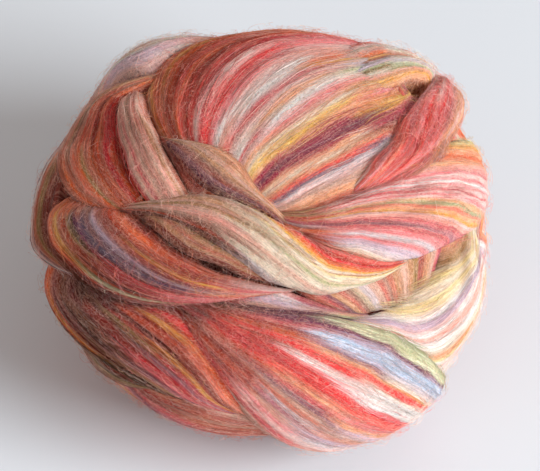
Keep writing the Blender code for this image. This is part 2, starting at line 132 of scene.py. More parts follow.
# the strands round the far side and underneath: bearing and elevation of the middle in degrees
# (0 is the front, 90 the right), half width, lift and crown in mm
farStrands = {
    "underWrap": [
        (245, -34, 10, -11, 2), (258, -58, 28, -6, 4), (75, -85, 34, -6, 4), (70, -58, 28, -6, 4),
        (62, -34, 10, -11, 2)],
    "lowFront": [
        (282, -46, 8, -10, 2), (305, -52, 14, -6, 4), (345, -57, 16, -6, 4), (25, -56, 14, -6, 4),
        (52, -48, 8, -10, 2)],
    "frontBelt": [
        (252, -25, 3, -12, 1), (270, -23, 9, -10, 2), (288, -22, 17, -7.5, 4), (309, -29, 20, -7, 4),
        (337, -38, 17, -7, 4), (5, -44, 12, -8, 3), (28, -46, 6, -11, 2)],
    "lowBelt": [
        (45, -46, 6, -10, 2), (75, -40, 16, -7, 4), (120, -38, 18, -6, 5), (180, -36, 19, -6, 6),
        (235, -38, 18, -6, 5), (275, -42, 16, -7, 4), (305, -46, 6, -10, 2)],
    "rightSide": [
        (72, 14, 8, -11, 2), (84, -2, 14, -9, 4), (95, -20, 16, -8, 5), (112, -38, 14, -8, 4),
        (130, -52, 6, -10, 2)],
    "backBelt": [
        (76, -18, 6, -10, 2), (100, -16, 16, -7, 5), (140, -8, 19, -5, 6), (180, -6, 19, -5, 6),
        (225, -10, 18, -5, 6), (258, -18, 15, -6, 5), (282, -21, 11, -7, 4), (306, -17, 4, -11, 2)],
    "backUpper": [
        (78, 8, 7, -10, 2), (102, 20, 17, -8, 6), (140, 31, 19, -9, 6), (180, 35, 20, -9, 6),
        (220, 30, 17, -9, 6), (250, 18, 13, -8, 5), (276, 2, 6, -10, 2)],
    "backSlant": [
        (284, -6, 5, -10, 2), (258, 0, 12, -6, 4), (230, 8, 14, -5, 4), (200, 16, 15, -5, 4),
        (170, 18, 14, -5, 4), (142, 12, 14, -5, 4), (118, 0, 11, -6, 4), (100, -16, 5, -10, 2)],
}

# soft lengthwise lobes across each strand
lobeCount = {
    "footWrap": 2, "oliveWrap": 1, "innerFan": 4, "lowerLeft": 3, "rightLoop": 3, "frontFan": 4,
    "lilacWedge": 1, "rustUnder": 1, "leftCurl": 2, "topFan": 4, "topFold": 2, "leftBundle": 3,
    "roseStrand": 2, "frontTwist": 3, "tanTwist": 1, "rightBundle": 4, "knotStrand": 1,
    "creamTwist": 3, "redEnd": 2, "underWrap": 2, "lowFront": 2, "frontBelt": 2,
    "lowBelt": 2, "rightSide": 2, "backBelt": 2, "backUpper": 3, "backSlant": 2}

# the dyer's colours, as red, green and blue from 0 to 255
dye = {
    "white": (236, 228, 222), "cream": (236, 218, 194), "beige": (208, 184, 154),
    "mist": (206, 192, 194), "pinkBeige": (212, 166, 146), "peach": (236, 164, 120),
    "tan": (192, 138, 98), "taupe": (154, 114, 98), "clay": (194, 102, 76),
    "brown": (120, 62, 40), "darkBrown": (72, 32, 22), "rosewood": (136, 46, 38),
    "paleYellow": (238, 214, 150), "yellow": (242, 190, 78), "gold": (232, 160, 64),
    "orange": (228, 98, 42), "rust": (186, 60, 28), "brick": (166, 36, 24),
    "scarlet": (230, 34, 44), "coral": (240, 88, 78), "crimson": (194, 18, 40),
    "maroon": (96, 14, 20), "plum": (98, 40, 72), "berry": (170, 38, 72),
    "rose": (212, 94, 98), "dustyRose": (190, 98, 84), "pink": (236, 132, 134),
    "palePink": (238, 192, 184), "blush": (236, 164, 148), "salmon": (232, 122, 96),
    "lavender": (178, 156, 172), "lilac": (204, 180, 194), "mauve": (166, 98, 110),
    "greyPlum": (134, 90, 102), "slate": (108, 96, 122), "lightBlue": (182, 200, 220),
    "sage": (172, 178, 130), "paleGreen": (214, 216, 176), "olive": (126, 104, 54),
    "oliveTan": (162, 126, 72), "darkOlive": (78, 60, 36),
}

# stripes across each strand from edge A to edge B, each as its percent of the width and its dye, at
# one or more places along the strand, from 0 at its first section to 1 at its last
# partly painted shade: the dark dyes (maroon, dark brown, rosewood) at the edges and ends of many tables
# stand for the creases between strands as well as for dyed wool
stripes = {
    "footWrap": {
        0.2: "0 mauve, 30 mauve, 38 rose, 46 rosewood, 54 dustyRose, 62 rosewood, 70 brick, 80 clay, "
            "100 rosewood",
        0.6: "0 blush, 34 dustyRose, 44 clay, 54 pinkBeige, 64 clay, 74 dustyRose, 84 pinkBeige, "
            "100 clay",
    },
    "oliveWrap": {0: "0 taupe, 34 brown, 42 taupe, 50 olive, 57 darkOlive, 63 brown, 70 rosewood, "
        "100 rosewood"},
    # painted shade: its dyes are subdued throughout to stand for the shade that this strand lies in
    "innerFan": {0: "0 maroon, 4 clay, 8 rose, 12 greyPlum, 16 tan, 20 dustyRose, 24 taupe, 28 beige, "
        "33 mist, 38 pinkBeige, 43 dustyRose, 47 taupe, 51 clay, 55 tan, 60 pinkBeige, 65 tan, "
        "70 oliveTan, 75 dustyRose, 80 tan, 85 pinkBeige, 90 rose, 95 berry, 100 rosewood"},
    # partly painted shade: the dark brown and maroon stripes near its start stand for the shadow under
    # frontTwist as well as for dark wool
    "lowerLeft": {
        0.05: "0 tan, 14 rosewood, 22 orange, 27 clay, 32 rosewood, 44 brown, 52 maroon, 62 darkBrown, "
            "74 maroon, 86 brick, 100 maroon",
        0.3: "0 darkBrown, 15 darkBrown, 20 orange, 23 gold, 26 rust, 30 maroon, 36 maroon, "
            "42 darkBrown, 48 brown, 53 maroon, 58 brick, 62 maroon, 66 oliveTan, 69 brick, 73 maroon, "
            "77 rust, 81 brick, 85 gold, 88 rust, 92 scarlet, 96 brick, 100 crimson",
        0.6: "0 brown, 14 darkOlive, 28 darkBrown, 34 tan, 38 dustyRose, 44 mauve, 50 rose, 56 crimson, "
            "61 mauve, 66 crimson, 69 gold, 73 brick, 77 rosewood, 82 salmon, 86 orange, 90 scarlet, "
            "95 rust, 100 crimson",
    },
    "rightLoop": {0: "-70 pinkBeige, -50 peach, -35 tan, -22 oliveTan, -12 beige, -4 paleYellow, "
        "4 cream, 10 paleYellow, 15 cream, 19 white, 22 lavender, 25 lilac, 28 palePink, 32 white, "
        "36 blush, 40 white, 47 cream, 51 peach, 54 paleYellow, 57 white, 64 palePink, 68 white, "
        "74 blush, 79 white, 88 cream, 94 peach, 100 white, 110 paleYellow, 120 white"},
    "frontFan": {
        0.02: "0 maroon, 10 rust, 20 brick, 30 rust, 40 maroon, 50 crimson, 60 maroon, 70 brick, "
            "80 rosewood, 90 brown, 100 maroon",
        0.15: "0 crimson, 8 orange, 14 crimson, 20 brick, 27 rust, 33 brick, 39 dustyRose, 45 rust, "
            "50 scarlet, 56 crimson, 62 scarlet, 68 brick, 73 scarlet, 78 orange, 83 brick, 88 rose, "
            "93 plum, 100 mauve",
        0.32: "0 mauve, 7 pinkBeige, 12 rose, 16 palePink, 20 pink, 24 pinkBeige, 28 mauve, 31 mist, "
            "34 salmon, 37 pinkBeige, 40 greyPlum, 43 rose, 47 peach, 50 salmon, 54 scarlet, 59 scarlet, "
            "62 pink, 64 white, 67.5 palePink, 70 scarlet, 73 coral, 76 peach, 78 greyPlum, 80 lavender, "
            "83 lightBlue, 87 lightBlue, 90 lavender, 92 plum, 95 paleGreen, 100 paleGreen",
        0.54: "0 white, 8 blush, 14 palePink, 19 mist, 24 lilac, 29 blush, 34 pinkBeige, 38 lilac, "
            "42 peach, 46 pink, 50 coral, 53 coral, 56.5 scarlet, 59 pink, 60.5 white, 68.5 white, "
            "70.5 cream, 72 scarlet, 73.5 coral, 75 gold, 77 cream, 80 mist, 83 lightBlue, 87 lightBlue, "
            "89 lavender, 90.5 plum, 92 paleGreen, 95.5 sage, 97 paleGreen, 100 paleGreen",
    },
    "lilacWedge": {
        0: "0 maroon, 30 crimson, 60 rosewood, 100 mauve",
        0.3: "0 mauve, 25 pinkBeige, 50 lilac, 75 mist, 100 blush",
        0.6: "0 slate, 25 greyPlum, 50 pinkBeige, 80 mauve, 100 rose",
        0.85: "0 paleGreen, 40 sage, 65 tan, 100 mauve",
    },
    "rustUnder": {0: "0 clay, 20 dustyRose, 35 brick, 50 rust, 65 orange, 80 rust, 100 rosewood"},
    # partly painted light: besides its own pale wool, its white and pale pink rows are made paler to
    # lighten the side that faces away from the window
    "leftCurl": {
        0.12: "0 palePink, 20 cream, 40 white, 60 lilac, 80 blush, 100 white",
        0.36: "0 white, 22 white, 42 palePink, 54 cream, 66 white, 82 lilac, 100 palePink",
        0.5: "0 palePink, 20 blush, 28 mauve, 36 palePink, 46 pinkBeige, 60 peach, 80 blush, 100 clay",
        0.65: "0 white, 24 palePink, 30 plum, 38 white, 44 palePink, 52 mauve, 60 pinkBeige, 70 clay, "
            "80 oliveTan, 90 rosewood, 100 rosewood",
        0.85: "0 white, 22 palePink, 29 plum, 37 white, 44 palePink, 52 mauve, 60 pinkBeige, 70 clay, "
            "80 oliveTan, 90 rosewood, 100 brick",
    },
    "topFan": {
        0: "0 clay, 4.7 orange, 7.4 peach, 10.2 gold, 13 orange, 15.8 rust, 18.6 clay, 21.4 brick, "
            "24.2 rust, 27 orange, 29.8 coral, 32.6 brick, 35.3 scarlet, 38.1 palePink, 40 crimson, "
            "42.8 scarlet, 45.6 pink, 48.4 white, 50.2 blush, 53 coral, 54.9 palePink, 57.7 white, "
            "59.5 rose, 61.4 palePink, 63.2 peach, 65 cream, 66.4 yellow, 67.9 peach, 69.8 berry, "
            "71.6 plum, 73.5 berry, 75.3 peach, 77.2 cream, 79 peach, 80.9 coral, 82.8 slate, 84.2 mist, "
            "85.6 palePink, 88 pinkBeige, 91 peach, 94 salmon, 100 rose",
        0.35: "0 clay, 7.4 pinkBeige, 11.2 orange, 14.9 salmon, 17.7 gold, 20.5 orange, 23.2 rust, "
            "26 coral, 28.8 orange, 31.6 brick, 34.4 coral, 37.2 crimson, 40 palePink, 42.8 scarlet, "
            "45.6 pink, 48.4 palePink, 51.2 white, 53.9 rose, 55.8 palePink, 57.7 peach, 60.5 white, "
            "62.3 pink, 64.2 blush, 66 cream, 67.5 yellow, 69 peach, 71.6 berry, 73.5 plum, 75.3 berry, "
            "76.7 peach, 78.1 cream, 80 peach, 81.4 coral, 82.8 slate, 84.2 mist, 86.5 palePink, "
            "89 pinkBeige, 91 peach, 94 salmon, 100 rose",
        0.6: "0 clay, 9.3 salmon, 14.9 pinkBeige, 18.6 peach, 23.2 salmon, 27.9 blush, 32.6 orange, "
            "37.2 rose, 41.9 pink, 45.6 palePink, 49 blush, 51 orange, 53 gold, 54.5 pinkBeige, 56 mist, "
            "57.2 lilac, 58.6 sage, 60 cream, 62 blush, 63.5 peach, 65 gold, 66.5 peach, 67.9 pink, "
            "70.7 gold, 72.5 yellow, 74.4 rose, 77.2 berry, 80 rosewood, 83 clay, 86.5 coral, 90.2 rust, "
            "100 brick",
    },
    "topFold": {
        0.1: "0 palePink, 14 mist, 28 rose, 42 blush, 56 white, 70 pink, 84 palePink, 100 peach",
        0.56: "0 pink, 12 rose, 20 coral, 27 palePink, 34 cream, 42 blush, 47 orange, 53 gold, 57 clay, "
            "61 mist, 66 lilac, 70 sage, 74 olive, 77 cream, 81 blush, 85 peach, 90 gold, 95 peach, "
            "100 salmon",
        0.7: "0 white, 15 palePink, 28 cream, 40 white, 47 cream, 52 orange, 57 pinkBeige, 63 cream, "
            "69 mist, 74 paleGreen, 78 sage, 81 blush, 85 peach, 90 gold, 95 peach, 100 clay",
    },
    "leftBundle": {
        0.1: "0 tan, 15 pinkBeige, 30 peach, 42 clay, 50 tan, 58 clay, 70 pinkBeige, 80 clay, 88 orange, "
            "95 clay, 100 rosewood",
        0.4: "0 pinkBeige, 14 palePink, 22 pinkBeige, 28 blush, 33 oliveTan, 37 pinkBeige, 43 taupe, "
            "48 pinkBeige, 54 rust, 60 salmon, 66 brick, 72 rust, 78 orange, 84 rust, 89 crimson, "
            "94 scarlet, 100 brick",
        0.7: "0 rosewood, 12 brown, 20 clay, 28 orange, 36 clay, 44 salmon, 52 orange, 58 oliveTan, "
            "64 clay, 70 orange, 76 rust, 82 clay, 87 crimson, 92 orange, 100 brick",
    },
    "roseStrand": {
        0: "0 clay, 20 pinkBeige, 50 dustyRose, 80 pinkBeige, 100 tan",
        0.3: "0 crimson, 8 scarlet, 14 rose, 22 pinkBeige, 36 blush, 50 pinkBeige, 62 blush, "
            "74 dustyRose, 86 pinkBeige, 94 blush, 100 clay",
        0.6: "0 orange, 6 scarlet, 12 rose, 20 pinkBeige, 32 rose, 44 pinkBeige, 56 blush, 68 pinkBeige, "
            "78 blush, 88 tan, 95 pinkBeige, 100 clay",
    },
    "frontTwist": {
        0.02: "0 brown, 10 orange, 40 orange, 50 clay, 60 taupe, 75 rust, 100 orange",
        0.15: "-10 brown, 0 brown, 12 rust, 18 orange, 26 gold, 32 clay, 38 rust, 43 oliveTan, "
            "46 darkOlive, 50 plum, 55 slate, 60 greyPlum, 66 lavender, 72 dustyRose, 78 rosewood, "
            "84 rust, 90 orange, 96 brick, 110 orange",
        0.5: "-10 brown, 0 darkBrown, 8 maroon, 15 maroon, 20 brick, 24 paleGreen, 27 olive, 30 rust, "
            "33 maroon, 37 clay, 40 crimson, 44 crimson, 49 scarlet, 52 maroon, 56 plum, 60 slate, "
            "63 plum, 66 lavender, 69 mauve, 72 brick, 75 orange, 78 gold, 81 rust, 86 rust, 91 brick, "
            "96 orange, 110 rust",
        0.8: "0 maroon, 20 rosewood, 36 rose, 48 pink, 56 coral, 64 peach, 72 blush, 80 rose, "
            "90 palePink, 110 clay",
    },
    # partly painted shade: its maroon and brown stand for the shadow under creamTwist as well as for dark
    # wool
    "tanTwist": {0: "0 maroon, 14 brown, 28 rosewood, 42 tan, 56 clay, 70 tan, 84 oliveTan, 100 brown"},
    "rightBundle": {
        0.04: "-36 orange, -12 rust, 0 orange, 6 rosewood, 12 mist, 18 berry, 24 rose, 30 orange, "
            "38 rust, 46 oliveTan, 56 clay, 66 oliveTan, 76 clay, 116 rosewood",
        0.2: "-36 peach, -28 cream, -20 mist, -13 lilac, -6 pink, 0 mist, 6 pink, 12 rose, 17 mauve, "
            "22 rose, 26 blush, 29 palePink, 32 gold, 35 peach, 38 salmon, 41 sage, 44 peach, "
            "47 palePink, 49 pink, 51 palePink, 53 rose, 55 palePink, 58 pink, 61 white, 64 pink, "
            "67 palePink, 70 pink, 75 blush, 80 peach, 86 orange, 91 peach, 96 gold, 102 paleYellow, "
            "108 sage, 116 peach",
    },
    "knotStrand": {0: "0 rosewood, 10 plum, 22 greyPlum, 32 rosewood, 42 taupe, 52 tan, 64 pinkBeige, "
        "76 tan, 88 peach, 100 tan"},
    "creamTwist": {
        0.3: "-50 rust, -38 brown, -28 darkBrown, -20 rust, -12 brown, -6 taupe, 2 pinkBeige, 12 blush, "
            "20 pinkBeige, 28 oliveTan, 34 pinkBeige, 42 tan, 50 pinkBeige, 58 beige, 66 clay, 130 rust",
        0.55: "-50 mist, -25 mist, -12 cream, 0 cream, 10 pinkBeige, 18 cream, 26 cream, 32 sage, "
            "37 beige, 43 cream, 48 paleYellow, 52 tan, 57 cream, 62 yellow, 67 gold, 72 orange, "
            "78 orange, 85 scarlet, 92 brick, 105 coral, 130 salmon",
    },
    # partly painted light: the pink and pale pink stops near edge A lighten the tuft's flank that faces
    # away from the window
    "redEnd": {
        0.15: "-110 peach, -50 palePink, -16 blush, -8 pink, -2 palePink, 4 pink, 10 coral, 16 palePink, "
            "22 pink, 28 scarlet, 34 palePink, 38 pink, 43 palePink, 48 blush, 72 peach, 125 salmon",
        0.6: "-110 peach, -85 salmon, -66 palePink, -52 coral, -42 pink, -32 coral, -24 salmon, "
            "-16 coral, -8 pink, -2 coral, 4 pink, 10 scarlet, 16 coral, 22 pink, 28 scarlet, 34 pink, "
            "38 coral, 43 pink, 48 blush, 54 peach, 62 palePink, 72 peach, 84 salmon, 100 peach, "
            "125 salmon",
    },
    "underWrap": {0: "0 rose, 12 coral, 24 cream, 36 orange, 48 taupe, 60 lavender, 72 coral, 84 tan, "
        "100 crimson"},
    "lowFront": {0: "0 brick, 20 taupe, 40 rose, 60 clay, 80 mauve, 100 rosewood"},
    "frontBelt": {0: "0 mauve, 10 rose, 20 tan, 30 clay, 40 crimson, 50 taupe, 60 peach, 70 rose, "
        "80 brown, 90 salmon, 100 rosewood"},
    "lowBelt": {0: "0 taupe, 8 clay, 16 peach, 24 rose, 32 blush, 40 crimson, 48 clay, 56 tan, "
        "64 orange, 72 mist, 80 mauve, 90 pinkBeige, 100 brick"},
    "rightSide": {0: "0 rose, 12 cream, 22 peach, 32 salmon, 42 white, 52 lilac, 60 coral, 70 palePink, "
        "80 peach, 92 sage, 100 tan"},
    "backBelt": {0: "0 orange, 7 peach, 14 cream, 21 blush, 28 lightBlue, 34 greyPlum, 41 rose, "
        "48 pinkBeige, 55 scarlet, 62 cream, 69 salmon, 76 clay, 83 gold, 91 coral, 100 rosewood"},
    "backUpper": {0: "0 coral, 7 pink, 14 cream, 21 salmon, 28 orange, 35 sage, 42 beige, 49 dustyRose, "
        "56 crimson, 63 palePink, 70 clay, 77 gold, 84 salmon, 92 mauve, 100 brick"},
    "backSlant": {0: "0 tan, 9 rust, 18 rose, 27 blush, 36 oliveTan, 45 peach, 54 coral, 63 mist, "
        "72 lavender, 81 cream, 90 orange, 100 rosewood"},
}

# how far the stripes of a strand have slid towards edge B, as (place along it, percent of the width)
slide = {
    "rightBundle": [(0, 12), (0.05, 16), (0.1, 28), (0.2, 36), (0.3, 27), (0.4, 14), (0.5, 0),
                    (0.6, -10), (0.7, -16), (1, -20)],
    "rightLoop": [(0, 84), (0.1, 80), (0.15, 72), (0.2, 58), (0.25, 34), (0.3, 17), (0.35, 9),
                  (0.4, 5), (0.5, 0), (0.6, -8), (0.7, -14), (0.85, -20), (1, -25)],
    "creamTwist": [(0, 45), (0.3, 40), (0.5, 32), (0.6, 12), (0.7, -10), (0.8, -22), (1, -30)],
    "redEnd": [(0, -6), (0.3, 5), (0.5, 18), (0.6, 25), (0.7, 35), (0.8, 55), (0.9, 68), (1, 74)],
}


def unit(vectors):
    # each vector divided by its own length
    return vectors / np.linalg.norm(vectors, axis=-1, keepdims=True)


eyeSide = np.array([1.0, 0.0, 0.0])
eyeRise = unit(np.array([0.0, math.sin(tilt) / halfAxes[2], math.cos(tilt) / halfAxes[1]]))
eyeToward = unit(np.array([0.0, -math.cos(tilt) / halfAxes[1], math.sin(tilt) / halfAxes[2]]))


def seenDirection(right, up):
    # directions on the unit ball of points as the tilted eye sees them, given in mm: turned away from
    # the eye by the arcsine of the distance from the middle, and past the outline by a quarter turn
    # for each outline radius
    across, along = right * mm / halfAxes[0], up * mm / seenHalfHeight
    reach = np.hypot(across, along)
    turn = np.where(reach <= 1, np.arcsin(np.minimum(reach, 1)), reach * math.pi / 2)[..., None]
    sideways = across[..., None] * eyeSide + along[..., None] * eyeRise
    sideways = sideways / np.maximum(reach, 1e-9)[..., None]
    return np.sin(turn) * sideways + np.cos(turn) * eyeToward


def bearingDirection(bearing, elevation):
    # (sin b cos e, -cos b cos e, sin e)
    turn, level = np.radians(bearing), np.radians(elevation)
    return np.stack([np.sin(turn) * np.cos(level), -np.cos(turn) * np.cos(level),
                     np.sin(level) + 0 * turn], -1)


def overBall(directions, height):
    # the ball's middle + half axes times direction + the surface's outward normal times the height,
    # kept above the floor
    points = middle + halfAxes * directions + unit(directions / halfAxes) * height[..., None]
    points[..., 2] = np.maximum(points[..., 2], 0.0)
    return points


def smoothThrough(rows, places):
    # Catmull-Rom curve through the rows, read at places counted in rows
    padded = np.vstack([2 * rows[0] - rows[1], rows, 2 * rows[-1] - rows[-2]])
    span = np.minimum(places.astype(int), len(rows) - 2)
    t = (places - span)[:, None]
    before, start, end, after = (padded[span + k] for k in range(4))
    slopeIn, slopeOut = (end - before) / 2, (after - start) / 2
    return ((2 * t**3 - 3 * t**2 + 1) * start + (t**3 - 2 * t**2 + t) * slopeIn
            + (3 * t**2 - 2 * t**3) * end + (t**3 - t**2) * slopeOut)


def softNoise(x, y, seed):
    # smooth chance values from -1 to 1: a mixed-up whole number at each whole (x, y), joined by
    # smoothstep curves
    ix, iy = np.floor(x).astype(np.int64), np.floor(y).astype(np.int64)
    fx, fy = x - ix, y - iy
    fx, fy = fx * fx * (3 - 2 * fx), fy * fy * (3 - 2 * fy)

    def corner(dx, dy):
        # three large odd numbers and two shifts mix the whole numbers up
        n = (ix + dx) * 374761393 + (iy + dy) * 668265263 + seed * 982451653
        n = (n ^ (n >> 13)) * 1274126177
        n = n ^ (n >> 16)
        return (n & 0xFFFF) / 32767.5 - 1

    low = corner(0, 0) * (1 - fx) + corner(1, 0) * fx
    high = corner(0, 1) * (1 - fx) + corner(1, 1) * fx
    return low * (1 - fy) + high * fy


# each strand as finely spaced stations that everything on it is worked out from
strandForm = {
    "stations": 160,                # along each strand
    "fullness": 2.4,                # 2 makes the section an ellipse, more makes it flatter on top
    "lobeDepth": 0.65,              # mm
    "ridges": (0.42, 45, 2.6),      # ropy ridges: depth, length and width in mm
    "creases": (0.28, 22, 0.85),    # fine creases, the same way
    "drift": (1.4, 30, 8),          # mm that both wander sideways, over what length and width
    "edgeWander": (0.5, 9),         # mm that the edges stray from a smooth line, over what length
    "edgeFade": (12, 0.15),         # how fast ridges grow from an edge, and their least share
    "narrow": (16, 0.4),            # width in mm from which the relief is full, and its least share
}
# sideways sway of the far strands' stripes: share of the width each way, and radians from end to end
farSway = {"share": 0.3, "turn": 5}


def edgeRows(name):
    # both edges as unit directions, and lift and crown in metres, one row for each section
    if name in seenStrands:
        rows = np.array(seenStrands[name], float)
        edgeA, edgeB = (seenDirection(rows[:, k], rows[:, k + 1]) for k in (0, 2))
        return edgeA, edgeB, rows[:, 4:] * mm
    rows = np.array(farStrands[name], float)
    line = bearingDirection(rows[:, 0], rows[:, 1])
    sideways = unit(np.cross(np.gradient(line, axis=0), line))
    reach = rows[:, 2:3] * mm / halfAxes[1]
    return unit(line - sideways * reach), unit(line + sideways * reach), rows[:, 3:] * mm


def makeStations(name, seed):
    # the smooth curves through the sections, read at evenly spaced stations
    edgeA, edgeB, heights = edgeRows(name)
    line = overBall(unit(edgeA + edgeB), np.zeros(len(edgeA)))
    travelled = np.concatenate([[0], np.cumsum(np.linalg.norm(np.diff(line, axis=0), axis=1))])
    even = np.linspace(0, travelled[-1], strandForm["stations"])
    places = np.interp(even, travelled, np.arange(len(edgeA)))
    edgeA, edgeB = unit(smoothThrough(edgeA, places)), unit(smoothThrough(edgeB, places))
    gap = edgeB - edgeA
    width = np.linalg.norm(gap * halfAxes, axis=1) / mm
    run = even / mm
    astray, over = strandForm["edgeWander"]
    for edge, way, salt in ((edgeA, -1, 3), (edgeB, 1, 5)):
        wander = softNoise(run / over, 0 * run, seed + salt) * astray
        edge += way * gap * (wander / np.maximum(width, 3))[:, None]
    return {"name": name, "seed": seed, "edgeA": unit(edgeA), "edgeB": unit(edgeB),
            "heights": smoothThrough(heights, places), "length": run[-1], "width": width,
            "wide": float(np.percentile(width, 80)),      # its broadest fifth left out
            "lobes": lobeCount[name]}


def atStation(values, u):
    # straight-line reading between stations at u from 0 to 1
    place = np.clip(u, 0, 1) * (len(values) - 1)
    low = np.minimum(place.astype(int), len(values) - 2)
    share = (place - low)[..., None] if values.ndim > 1 else place - low
    return values[low] * (1 - share) + values[low + 1] * share


def laneOf(strand, u, v):
    # the place across the strand counted along its stripes: v less the slide at u, which is a slow
    # sine on the far strands
    if strand["name"] in farStrands:
        return v - farSway["share"] * np.sin(farSway["turn"] * u + strand["seed"])
    return v - np.interp(u, *zip(*slide.get(strand["name"], [(0, 0)]))) / 100


def grain(strand, u, lane, form, salt, aside=0):
    # soft noise times its amount, in patches of its length and width in mm along the strand's stripes,
    # read aside by some mm
    amount, long, wide = form
    across = (lane * strand["wide"] + aside) / wide
    return softNoise(u * strand["length"] / long, across, strand["seed"] + salt) * amount


def relief(strand, u, v):
    # small ups and downs in mm: lobes, then ridges and creases that drift slowly along the strand and
    # fade at its edges
    lane = laneOf(strand, u, v)
    lobes = -(1 + np.cos(2 * math.pi * strand["lobes"] * v)) / 2 * strandForm["lobeDepth"]
    drift = grain(strand, u, lane, strandForm["drift"], 11)
    ridges = grain(strand, u, lane, strandForm["ridges"], 17, drift)
    creases = grain(strand, u, lane, strandForm["creases"], 23, drift / 2)
    (rate, least), (fullWidth, leastNarrow) = strandForm["edgeFade"], strandForm["narrow"]
    fade = np.clip(np.minimum(v, 1 - v) * rate, least, 1)
    return (lobes + (ridges + creases) * fade) * np.clip(strand["wide"] / fullWidth, leastNarrow, 1)


def onStrand(strand, u, v, over):
    # the point of the strand at u along it and v across it, raised by over mm: the direction lies
    # between the two edges, the height is lift + crown * (1 - |2v-1|^fullness)^0.5 + relief
    edgeA, edgeB = atStation(strand["edgeA"], u), atStation(strand["edgeB"], u)
    lift, crown = np.moveaxis(atStation(strand["heights"], u), -1, 0)
    inside = np.clip(v, 0, 1)
    arch = np.sqrt(np.maximum(1 - np.abs(2 * inside - 1) ** strandForm["fullness"], 0))
    directions = unit(edgeA * (1 - v)[..., None] + edgeB * v[..., None])
    height = lift + crown * arch + (relief(strand, u, inside) + over) * mm
    return overBall(directions, height), directions, height


strands = {}
for number, name in enumerate([*seenStrands, *farStrands]):
    strands[name] = makeStations(name, 101 * (number + 1))
print("strands measured:", len(strands))

# colour
mixing = {
    "stopSharpness": 1.6,            # 1 blends evenly from stripe to stripe, more keeps them apart
    "placeSharpness": 2.5,           # the same from one place of a stripe table to the next
    "placeLocks": (0.6, 20, 1.3),    # how unevenly single locks go over there, lock length and width
    "wander": (0.6, 30, 5),          # mm that a stripe strays sideways, over what length and width
    "fineWander": (0.6, 14, 0.8),    # the same for single locks of fibre
    "shade": (0.17, 14, 0.5),        # how much single locks are lighter or darker
    "broadShade": (0.119, 30, 1.9),  # the same for groups of locks
    "veil": 0.09,                    # share of pale fibres mixed in, at most twice this
    "veilPatches": (1, 11, 0.7),
    "veilDye": "blush",
    # painted shade: edgeShade darkens the colour where the strand turns under at its edges, for the shade
    # of the creases
    "edgeShade": 0.3,                # how dark a strand gets where it turns under at its edges
    "edgeWidth": 1.6,                # mm
}


def linearDye(name):
    # the dye's screen colour as linear light: ((c + 0.055) / 1.055)^2.4
    return ((np.array(dye[name]) / 255 + 0.055) / 1.055) ** 2.4


def sharpened(share, sharpness, chance=0):
    # (share - 0.5) * sharpness + 0.5 + chance, from 0 to 1
    return np.clip((np.clip(share, 0, 1) - 0.5) * sharpness + 0.5 + chance, 0, 1)[..., None]


def stripeColour(strand, u, v):
    # the dyes of the stripe table in the lane of v; between two places of the table one lock after
    # another goes over
    layers = list(stripes[strand["name"]].items())
    lane = laneOf(strand, u, v)
    if strand["name"] in farStrands:
        lane = 1 - np.abs(1 - lane % 2)      # past its ends the table is read backwards
    locks = grain(strand, u, lane, mixing["placeLocks"], 53)
    found = []
    for _, row in layers:
        row = [stripe.split() for stripe in row.split(",")]
        stops = np.array([float(stop) / 100 for stop, _ in row])
        dyes = np.array([linearDye(name) for _, name in row])
        after = np.clip(np.searchsorted(stops, lane), 1, len(stops) - 1)
        share = (lane - stops[after - 1]) / (stops[after] - stops[after - 1])
        share = sharpened(share, mixing["stopSharpness"])
        found.append(dyes[after - 1] * (1 - share) + dyes[after] * share)
    colour = found[0]
    for k in range(1, len(layers)):
        start, end = layers[k - 1][0], layers[k][0]
        share = sharpened((u - start) / (end - start), mixing["placeSharpness"], locks)
        colour = colour * (1 - share) + found[k] * share
    return colour


def woolColour(strand, u, v):
    # stripes read a little to the side, in long thin locks, then made lighter or darker lock by lock,
    # veiled with pale fibre and darkened towards the edges as painted shade where the strand turns under
    lane = laneOf(strand, u, v)
    shift = grain(strand, u, lane, mixing["wander"], 31)
    shift = shift + grain(strand, u, lane, mixing["fineWander"], 37)
    colour = stripeColour(strand, u, np.clip(v + shift / strand["wide"], 0, 1))
    veil = mixing["veil"] * (1 + grain(strand, u, lane, mixing["veilPatches"], 47))[..., None]
    colour = colour * (1 - veil) + linearDye(mixing["veilDye"]) * veil
    shade = 1 + grain(strand, u, lane, mixing["shade"], 41)
    shade = shade + grain(strand, u, lane, mixing["broadShade"], 43)
    # painted shade: darker towards both edges, where the strand turns under
    rim = np.clip(np.minimum(v, 1 - v) * strand["wide"] / mixing["edgeWidth"], 0, 1)
    return colour * (shade * (1 - mixing["edgeShade"] * (1 - rim)))[..., None]


